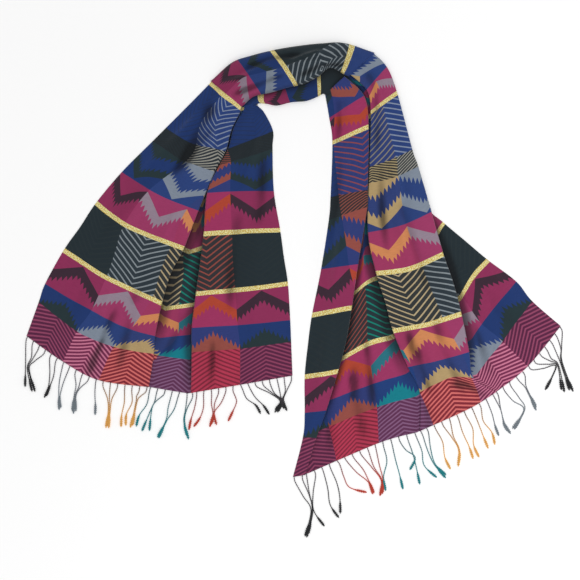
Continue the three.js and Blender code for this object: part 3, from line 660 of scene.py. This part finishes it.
class Graph:
    """Short words for building a material's nodes. A value is a number or another node's output."""

    def __init__(self, name):
        self.material = bpy.data.materials.new(name)
        self.material.use_nodes = True
        self.tree = self.material.node_tree
        self.tree.nodes.clear()
        self.known = {}

    def node(self, kind, **settings):
        made = self.tree.nodes.new(kind)
        for key, value in settings.items():
            setattr(made, key, value)
        return made

    def put(self, socket, value):
        if isinstance(value, bpy.types.NodeSocket):
            self.tree.links.new(value, socket)
        else:
            socket.default_value = value

    def map_parts(self, name):
        """The piece's own map: its place, and the two coordinates of it across and along the warp."""
        place = self.node("ShaderNodeUVMap", uv_map=name).outputs[0]
        split = self.node("ShaderNodeSeparateXYZ")
        self.put(split.inputs[0], place)
        return place, split.outputs[0], split.outputs[1]

    def noise(self, place, scale):
        made = self.node("ShaderNodeTexNoise")
        self.put(made.inputs["Vector"], place)
        self.put(made.inputs["Scale"], scale)
        return made.outputs[0]

    def brighten(self, colour, value):
        made = self.node("ShaderNodeHueSaturation")
        self.put(made.inputs["Color"], colour)
        self.put(made.inputs["Value"], value)
        return made.outputs[0]

    def finish(self, inputs):
        """Closes the material with one surface, whose inputs are given by name."""
        surface = self.node("ShaderNodeBsdfPrincipled")
        for name, value in inputs.items():
            self.put(surface.inputs[name], value)
        output = self.node("ShaderNodeOutputMaterial")
        self.put(output.inputs[0], surface.outputs[0])
        return self.material

    def math(self, operation, a, b=0.0):
        made = self.node("ShaderNodeMath", operation=operation)
        self.put(made.inputs[0], a)
        self.put(made.inputs[1], b)
        return made.outputs[0]

    def add(self, a, b): return self.math("ADD", a, b)
    def sub(self, a, b): return self.math("SUBTRACT", a, b)
    def mul(self, a, b): return self.math("MULTIPLY", a, b)
    def fract(self, a): return self.math("FRACT", a)
    def size(self, a): return self.math("ABSOLUTE", a)
    def below(self, a, b): return self.math("LESS_THAN", a, b)
    def above(self, a, b): return self.math("GREATER_THAN", a, b)
    def both(self, a, b): return self.math("MULTIPLY", a, b)
    def either(self, a, b): return self.math("MAXIMUM", a, b)

    def bands(self, value, stops):
        """Plain bands of colour: stops is a list of (start, colour) for a value in millimetres."""
        colour = tone(stops[0][1])
        for start, following in stops[1:]:
            colour = self.mix(self.passed(value, start), colour, tone(following))
        return colour

    def passed(self, value, start):
        """1 where the value is past the start, made once for each start."""
        key = (value.node.name, start)
        if key not in self.known:
            self.known[key] = self.above(value, start)
        return self.known[key]

    def mix(self, share, first, second):
        made = self.node("ShaderNodeMix", data_type="RGBA", clamp_factor=True)
        self.put(made.inputs["Factor"], share)
        sockets = [s for s in made.inputs if s.type == "RGBA"]
        self.put(sockets[0], first)
        self.put(sockets[1], second)
        return [s for s in made.outputs if s.type == "RGBA"][0]


def tone(colour):
    """A colour given as the eye names it, 0 to 255, as Blender's linear one."""
    shares = [c / 255 for c in colour]
    linear = [c / 12.92 if c <= 0.04045 else ((c + 0.055) / 1.055) ** 2.4 for c in shares]
    return (*linear, 1.0)


# The woven design. Its bands run across the cloth, mirrored about the middle of its length: where
# each starts, in millimetres from the hem, and its ground colour.
MAGENTA, BLUE, NIGHT, GOLD = (174, 52, 106), (27, 63, 132), (34, 50, 56), (236, 212, 96)
GROUND = [
  (0, (120, 30, 66)), (77, BLUE), (130, MAGENTA), (207, GOLD), (217, NIGHT), (327, GOLD), (337, MAGENTA),
  (421, BLUE), (518, (34, 44, 48)), (558, BLUE), (683, GOLD), (693, MAGENTA), (752, BLUE), (829, GOLD),
  (839, NIGHT),
]
GOLDS = [(207, 217), (327, 337), (683, 693), (829, 839)]
# Toothed hills in two of the blue bands: where they stand, how high they rise in the middle of a colour
# column, and how long their teeth are. Those that hang towards the hem have both below zero.
STANDING_BAND, STANDING_HILLS = (77, 130), dict(foot=76, rise=33, teeth=12)
HANGING_BAND, HANGING_HILLS = (421, 518), dict(foot=519, rise=-28, teeth=-12)
# Zigzags: the band that holds each, the line it swings about, its rise, its width, and the length of the
# teeth on its two sides.
BLUE_ZIGZAGS = [
  dict(low=421, high=518, border=467, rise=-34, width=18, hem_teeth=0, neck_teeth=11),
  dict(low=752, high=829, border=799, rise=-30, width=16, hem_teeth=0, neck_teeth=11),
]
MAGENTA_ZIGZAGS = [
  dict(low=130, high=207, border=157, rise=38, width=20, hem_teeth=11, neck_teeth=0),
  dict(low=337, high=421, border=406, rise=-38, width=19, hem_teeth=11, neck_teeth=0),
  dict(low=693, high=752, border=740, rise=-26, width=14, hem_teeth=10, neck_teeth=0),
]
# Herringbones: the band, the rise, the distance from line to line and the share of it that is a line.
HEM_LINES = dict(low=-5, high=77, rise=26, pitch=8.6, share=0.42)
NIGHT_LINES = [
  dict(low=217, high=327, rise=-34, pitch=12.2, share=0.27),
  dict(low=839, high=905, rise=-34, pitch=12.2, share=0.27),
]
FINE_LINES = dict(low=518, high=558, rise=26, pitch=6, share=0.4)
CENTRE_LINES = dict(low=558, high=683, rise=-34, pitch=13, share=0.24)
TEETH = 12              # teeth in a colour column
WANDER = 5.0            # the whole width in which the edge of a band wanders
THREADS = 900           # threads in a metre of the weave
STREAKS = (60, 900, 1)  # how fine the uneven yarn is, across and along the warp
GOLD_AND_GLINT_TONES = ((222, 186, 84), (255, 250, 186))  # the gold of the metallic lines and a pale painted glint speckled over it
DEEP_SHADE = (6, 7, 12)     # the colour of the painted shade where no light reaches the cloth
YARN_ROOT = (104, 96, 104)  # the yarn where it leaves the hem
# One colour for each colour column of the warp, from the outer selvedge.
WARP_TONES = dict(
  hem_ground=[(106, 32, 76), (126, 26, 76), (140, 26, 52), (104, 44, 86), (200, 58, 90), (106, 32, 76)],
  hem_line=[(180, 82, 122), (228, 132, 164), (238, 120, 118), (146, 98, 138), (138, 34, 62), (174, 76, 116)],
  on_blue=[(38, 60, 64), (142, 154, 170), (198, 170, 120), (0, 138, 152), (162, 84, 74), (38, 60, 64)],
  on_magenta=[(70, 42, 60), (164, 144, 160), (232, 150, 96), (40, 124, 140), (196, 74, 50), (70, 42, 60)],
  on_night=[(40, 54, 58), (150, 160, 165), (202, 182, 142), (0, 138, 120), (160, 80, 70), (38, 52, 56)],
  fine=[(36, 48, 54), (172, 170, 158), (188, 170, 126), (110, 150, 140), (150, 84, 72), (36, 48, 54)],
  on_centre=[(30, 58, 112), (146, 160, 186), (150, 146, 130), (84, 140, 170), (150, 76, 84), (30, 58, 112)],
  tint=[(18, 24, 36), (120, 124, 150), (150, 110, 70), (10, 80, 100), (150, 50, 40), (18, 24, 36)],
  tint_share=[(132, 132, 132), *[(70, 70, 70)] * 4, (132, 132, 132)],
  yarn=[(26, 28, 32), (128, 138, 146), (240, 180, 92), (14, 138, 146), (200, 66, 46), (26, 28, 32)],
)


def columns(g, u, name):
    """The colour columns of the warp in one set of tones."""
    return g.bands(u, [(i * COLUMN, colour) for i, colour in enumerate(WARP_TONES[name])])


def cloth_material():
    g = Graph("woven_cloth")
    place, across, along = g.map_parts("cloth")
    shift = g.mul(g.sub(g.noise(place, 9.0), 0.5), WANDER)
    half = CUT_LENGTH / 2
    v = g.sub(half, g.size(g.sub(g.add(g.mul(along, 1000.0), shift), half)))
    u = g.math("MINIMUM", g.math("MAXIMUM", g.mul(across, 1000.0), 1.0), CUT_WIDTH - 1)
    middle = g.sub(1.0, g.mul(g.size(g.sub(g.fract(g.mul(u, 1 / COLUMN)), 0.5)), 2.0))
    tooth = g.math("POWER", g.mul(g.size(g.sub(g.fract(g.mul(u, TEETH / COLUMN)), 0.5)), 2.0), 1.3)

    def within(low, high):
        return g.both(g.above(v, low), g.below(v, high))

    def hill_edge(foot, rise, teeth):
        return g.add(g.add(foot, g.mul(middle, rise)), g.mul(tooth, teeth))

    def zigzag(low, high, border, rise, width, hem_teeth, neck_teeth):
        centre = g.add(border, g.mul(middle, rise))
        lower = g.sub(g.sub(centre, width / 2), g.mul(tooth, hem_teeth))
        upper = g.add(g.add(centre, width / 2), g.mul(tooth, neck_teeth))
        return g.both(within(low, high), g.both(g.above(v, lower), g.below(v, upper)))

    def lines(low, high, rise, pitch, share):
        moved = g.sub(v, g.mul(middle, rise))
        return g.both(within(low, high), g.below(g.fract(g.mul(moved, 1 / pitch)), share))

    def any_of(shapes):
        result = shapes[0]
        for shape in shapes[1:]:
            result = g.either(result, shape)
        return result

    standing = g.both(within(*STANDING_BAND), g.below(v, hill_edge(**STANDING_HILLS)))
    hanging = g.both(within(*HANGING_BAND), g.above(v, hill_edge(**HANGING_HILLS)))
    gold = any_of([within(*ends) for ends in GOLDS])
    motifs = [
      (within(HEM_LINES["low"], HEM_LINES["high"]), "hem_ground"),
      (lines(**HEM_LINES), "hem_line"),
      (any_of([standing, hanging, *[zigzag(**z) for z in BLUE_ZIGZAGS]]), "on_blue"),
      (any_of([zigzag(**z) for z in MAGENTA_ZIGZAGS]), "on_magenta"),
      (any_of([lines(**band) for band in NIGHT_LINES]), "on_night"),
      (lines(**FINE_LINES), "fine"),
      (lines(**CENTRE_LINES), "on_centre"),
      (columns(g, u, "tint_share"), "tint"),
    ]
    colour = g.bands(v, GROUND)
    for share, name in motifs:
        colour = g.mix(share, colour, columns(g, u, name))

    stretch = g.node("ShaderNodeMapping")
    g.put(stretch.inputs["Vector"], place)
    stretch.inputs["Scale"].default_value = STREAKS
    colour = g.brighten(colour, g.add(0.82, g.mul(g.noise(stretch.outputs[0], 1.0), 0.36)))
    # the gold lines are speckled with a pale painted glint
    glinting_gold = g.mix(g.above(g.noise(place, 420.0), 0.5), *[tone(shade) for shade in GOLD_AND_GLINT_TONES])
    colour = g.mix(gold, colour, glinting_gold)
    # painted shade: where open_to_light is low the colour is mixed towards DEEP_SHADE
    light = g.node("ShaderNodeAttribute", attribute_name="open_to_light")
    colour = g.mix(light.outputs["Fac"], tone(DEEP_SHADE), colour)

    weft = g.math("SINE", g.mul(along, 2 * math.pi * THREADS))
    warp = g.math("SINE", g.add(g.mul(across, 2 * math.pi * THREADS), g.mul(along, 2500.0)))
    bump = g.node("ShaderNodeBump")
    bump.inputs["Strength"].default_value = 0.25
    bump.inputs["Distance"].default_value = 0.0004
    g.put(bump.inputs["Height"], g.add(weft, warp))
    return g.finish({
      "Base Color": colour, "Metallic": g.mul(gold, 0.3), "Roughness": g.sub(0.78, g.mul(gold, 0.4)),
      "Sheen Weight": 0.25, "Sheen Roughness": 0.4, "Specular IOR Level": 0.3, "Normal": bump.outputs[0],
    })


def yarn_material():
    g = Graph("twisted_yarn")
    place, across, along = g.map_parts("yarn")
    colour = columns(g, g.mul(across, 1000.0), "yarn")
    colour = g.mix(g.math("MINIMUM", g.mul(along, 14.0), 1.0), tone(YARN_ROOT), colour)
    colour = g.brighten(colour, g.add(0.75, g.mul(g.noise(place, 500.0), 0.5)))
    return g.finish({"Base Color": colour, "Roughness": 0.85, "Sheen Weight": 0.2})


# The locks of each fringe in the order of its cords: how many gather, where their tips lie and, for
# the knotted ones, the place they gather by.
LEFT_LOCKS = [
  dict(cords=1, tip=(-598, -209)), dict(cords=3, tip=(-579, -216), by=(-591, -168)),
  dict(cords=2, tip=(-554, -232), by=(-546, -211)), dict(cords=2, tip=(-521, -256), by=(-523, -234)),
  dict(cords=3, tip=(-491, -264), by=(-488, -228)), dict(cords=1, tip=(-444, -270)),
  dict(cords=3, tip=(-417, -296), by=(-413, -260)), dict(cords=1, tip=(-387, -297)),
  dict(cords=1, tip=(-377, -297)), dict(cords=2, tip=(-364, -295), by=(-353, -242)),
  dict(cords=1, tip=(-354, -297)), dict(cords=1, tip=(-340, -303), by=(-321, -258)),
  dict(cords=1, tip=(-326, -309), by=(-319, -256)), dict(cords=2, tip=(-305, -319), by=(-287, -282)),
  dict(cords=2, tip=(-240, -321), by=(-248, -284)), dict(cords=1, tip=(-238, -304)),
  dict(cords=1, tip=(-228, -299), by=(-213, -276)), dict(cords=2, tip=(-190, -293), by=(-184, -268)),
  dict(cords=1, tip=(-177, -293), by=(-182, -266)), dict(cords=1, tip=(-151, -281), by=(-134, -246)),
  dict(cords=1, tip=(-78, -271)), dict(cords=1, tip=(-62, -268)),
  dict(cords=3, tip=(-47, -262), by=(-35, -240)), dict(cords=3, tip=(-25, -257), by=(-32, -238)),
]
RIGHT_LOCKS = [
  dict(cords=3, tip=(21, -537), by=(33, -480)), dict(cords=1, tip=(60, -513), by=(37, -481)),
  dict(cords=1, tip=(92, -496), by=(73, -468)), dict(cords=1, tip=(96, -491), by=(94, -450)),
  dict(cords=1, tip=(151, -438), by=(116, -430)), dict(cords=2, tip=(169, -445), by=(158, -418)),
  dict(cords=3, tip=(184, -444), by=(187, -414)), dict(cords=1, tip=(195, -435)),
  dict(cords=1, tip=(234, -438)), dict(cords=1, tip=(247, -389), by=(260, -364)),
  dict(cords=1, tip=(270, -423), by=(262, -384)), dict(cords=1, tip=(309, -411), by=(280, -382)),
  dict(cords=2, tip=(327, -405), by=(303, -379)), dict(cords=1, tip=(338, -391)),
  dict(cords=2, tip=(355, -380), by=(356, -346)), dict(cords=1, tip=(387, -366)),
  dict(cords=1, tip=(400, -362)), dict(cords=1, tip=(422, -348)), dict(cords=1, tip=(434, -333)),
  dict(cords=1, tip=(444, -317)), dict(cords=2, tip=(467, -309), by=(456, -290)),
  dict(cords=2, tip=(476, -303), by=(500, -258)), dict(cords=2, tip=(526, -257), by=(510, -224)),
  dict(cords=2, tip=(546, -213), by=(570, -163)), dict(cords=2, tip=(585, -218), by=(574, -161)),
  dict(cords=3, tip=(603, -216), by=(581, -154)),
]
CORDS = 40             # cords on each hem
PLY = 0.68             # radius of one of a cord's two plies
CORD_HEIGHT = 1.6      # height of a cord's middle above the surface
TWIST = 9.0            # length of one turn of the plies
TUFT = 30.0            # length of the loosened end
SWAY = 5.5             # how far a cord wanders from a straight way
TIP_GAP = 3.6          # from cord to cord at the tip of a lock
GATHER_GAP = 2.2       # the same where a lock is gathered
UNEVEN = 4             # how uneven the tips are
ROOT_DEPTH = 0.8       # how far a cord starts inside the hem
SPAN_PARTS = 12        # steps between two keys of a cord's way
RING_STEP = 2.2        # from ring to ring along a ply
RING_SIDES = 6         # sides of a ply


def hem_places(row, panels, folds):
    """The hem as a line of places with their warp coordinate, only what shows."""
    line = np.array(section(row, panels, folds), float)
    return line[line[:, 2] < FLOOR + 2 * row["step"] + 3][:, [0, 1, 3]]


def point_on(line, share):
    reach = distances_along(line)
    return values_at(line, reach, share * reach[-1])


def fringe_mesh(name, hem, locks):
    bm = bmesh.new()
    layer = bm.loops.layers.uv.new("yarn")
    index = 0
    for lock in locks:
        centre = (lock["cords"] - 1) / 2
        for k in range(lock["cords"]):
            share = 0.004 + 0.992 * index / (CORDS - 1)
            root = point_on(hem, share)
            ahead, behind = point_on(hem, min(share + 0.01, 1)), point_on(hem, max(share - 0.01, 0))
            line = ahead[:2] - behind[:2]
            line /= np.hypot(*line)
            out = np.array([line[1], -line[0]])
            end = np.array(lock["tip"], float)
            way = (end - root[:2]) / np.hypot(*(end - root[:2]))
            across = np.array([-way[1], way[0]])
            end = end + across * (k - centre) * TIP_GAP + way * UNEVEN * math.sin(index * 2.3)
            sway = SWAY * math.sin(index * 1.7)
            start = root[:2] - out * ROOT_DEPTH
            leave = root[:2] + out * 5 + way * 7
            if "by" in lock:
                by = np.array(lock["by"], float) + across * (k - centre) * GATHER_GAP
                keys = [start, leave, (leave + by) / 2 + across * 0.7 * sway, by, end]
            else:
                keys = [start, leave, leave + (end - leave) * 0.33 + across * sway,
                        leave + (end - leave) * 0.68 - across * 0.6 * sway, end]
            cord(bm, layer, keys, root[2], index)
            index += 1
    return mesh_object(name, bm)


def cord(bm, layer, keys, u, index):
    """Two plies twisted round each other along a smooth way, loosened into a tuft at the end."""
    way = []
    for i in range(len(keys) - 1):
        way += [smooth_between(keys, i, k / SPAN_PARTS) for k in range(SPAN_PARTS)]
    way.append(keys[-1])
    way = np.array(way)
    reach = distances_along(way)
    total = reach[-1]
    rings = max(int(total / RING_STEP), 8)
    for ply in range(2):
        previous = None
        for r in range(rings + 1):
            s = total * r / rings
            place = values_at(way, reach, s)
            line = values_at(way, reach, min(s + 2, total)) - values_at(way, reach, max(s - 2, 0))
            line /= np.hypot(*line)
            side = np.array([-line[1], line[0]])
            loose = float(smooth_step(total - TUFT, total - TUFT * 0.55, s))
            closing = float(smooth_step(total - 5, total, s))
            turn = 2 * math.pi * s / TWIST + ply * math.pi + index
            radius = PLY * (1 + 1.5 * loose) * (1 - 0.6 * closing)
            swing = PLY * (1 + 1.7 * loose) * (1 - 0.8 * closing)
            centre = place + side * math.cos(turn) * swing
            height = max(CORD_HEIGHT + math.sin(turn) * swing * 0.8, radius + 0.15)
            ring = []
            for c in range(RING_SIDES):
                angle = 2 * math.pi * c / RING_SIDES
                at = centre + side * radius * math.cos(angle)
                ring.append(bm.verts.new(to_frame(at[0], at[1], height + radius * math.sin(angle))))
            if previous:
                for c in range(RING_SIDES):
                    d = (c + 1) % RING_SIDES
                    face = bm.faces.new((previous[c], previous[d], ring[d], ring[c]))
                    face.smooth = True
                    for loop in face.loops:
                        loop[layer].uv = (u / 1000, s / 1000)
            else:
                cap(bm, layer, ring[::-1], u, s)
            previous = ring
        cap(bm, layer, previous, u, total)


def cap(bm, layer, ring, u, s):
    """Closes an end of a ply."""
    face = bm.faces.new(ring)
    for loop in face.loops:
        loop[layer].uv = (u / 1000, s / 1000)


left_hem = hem_places(left_rows[0], LEFT_PANELS, LEFT_FOLDS)
right_hem = hem_places(right_rows[0], RIGHT_PANELS, RIGHT_FOLDS)
left_fringe = fringe_mesh("left_fringe_cords", left_hem, LEFT_LOCKS)
right_fringe = fringe_mesh("right_fringe_cords", right_hem, RIGHT_LOCKS)

cloth = cloth_material()
yarn = yarn_material()
for piece in (left_tail, right_tail, neck_roll, neck_under):
    piece.data.materials.append(cloth)
for piece in (left_fringe, right_fringe):
    piece.data.materials.append(yarn)


for piece, node, slot in ((left_tail, "left_tail", "tail_cloth"), (right_tail, "right_tail", "tail_cloth"),
                          (neck_roll, "neck_stretch", "neck_cloth"),
                          (neck_under, "neck_stretch", "neck_cloth"),
                          (left_fringe, "left_fringe", "fringe_yarn"),
                          (right_fringe, "right_fringe", "fringe_yarn")):
    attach(piece, "root")
    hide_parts(node)

# The floor, the light and the camera, straight above the scarf.
FRAME_WIDTH = 1.276    # what the picture is wide, in metres, at the scarf's height
AIM = (-0.0149, -0.003)
CAMERA_HEIGHT = 4.0
SENSOR = 36            # width of the camera's sensor, in millimetres
FLOOR_SIZE = 20.0
FLOOR_GLOW = 0.27
SKY_LIGHT = 0.71
KEY_LIGHT = dict(place=(-2.2, 1.6, 1.8), size=1.0, power=165)
FILL_LIGHT = dict(place=(1.9, -1.4, 2.8), size=2.4, power=60)

bm = bmesh.new()
bmesh.ops.create_grid(bm, x_segments=1, y_segments=1, size=FLOOR_SIZE)
floor = mesh_object("floor", bm)
paper = bpy.data.materials.new("pale_floor")
paper.use_nodes = True
paper_surface = paper.node_tree.nodes["Principled BSDF"]
paper_surface.inputs["Base Color"].default_value = (0.95, 0.95, 0.95, 1)
paper_surface.inputs["Emission Color"].default_value = (1, 1, 1, 1)
paper_surface.inputs["Emission Strength"].default_value = FLOOR_GLOW
paper_surface.inputs["Roughness"].default_value = 0.9
floor.data.materials.append(paper)


def area_light(name, place, size, power):
    """A square light that points at the middle of the part."""
    light = bpy.data.lights.new(name, "AREA")
    light.shape = "SQUARE"
    light.size = size
    light.energy = power
    made = put_in_scene(name, light)
    made.location = place
    direction = -np.array(place, float)
    made.rotation_euler = (math.atan2(math.hypot(direction[0], direction[1]), -direction[2]), 0,
                           math.atan2(direction[0], -direction[1]))


area_light("key_light", **KEY_LIGHT)
area_light("fill_light", **FILL_LIGHT)
world = bpy.data.worlds.new("studio")
bpy.context.scene.world = world
world.use_nodes = True
world.node_tree.nodes["Background"].inputs[0].default_value = (1, 1, 1, 1)
world.node_tree.nodes["Background"].inputs[1].default_value = SKY_LIGHT

lens = bpy.data.cameras.new("camera")
lens.sensor_width = SENSOR
lens.lens = SENSOR * CAMERA_HEIGHT / FRAME_WIDTH
camera = put_in_scene("camera", lens)
camera.location = (AIM[0], AIM[1], CAMERA_HEIGHT)
bpy.context.scene.camera = camera
bpy.context.scene.view_settings.view_transform = "Standard"
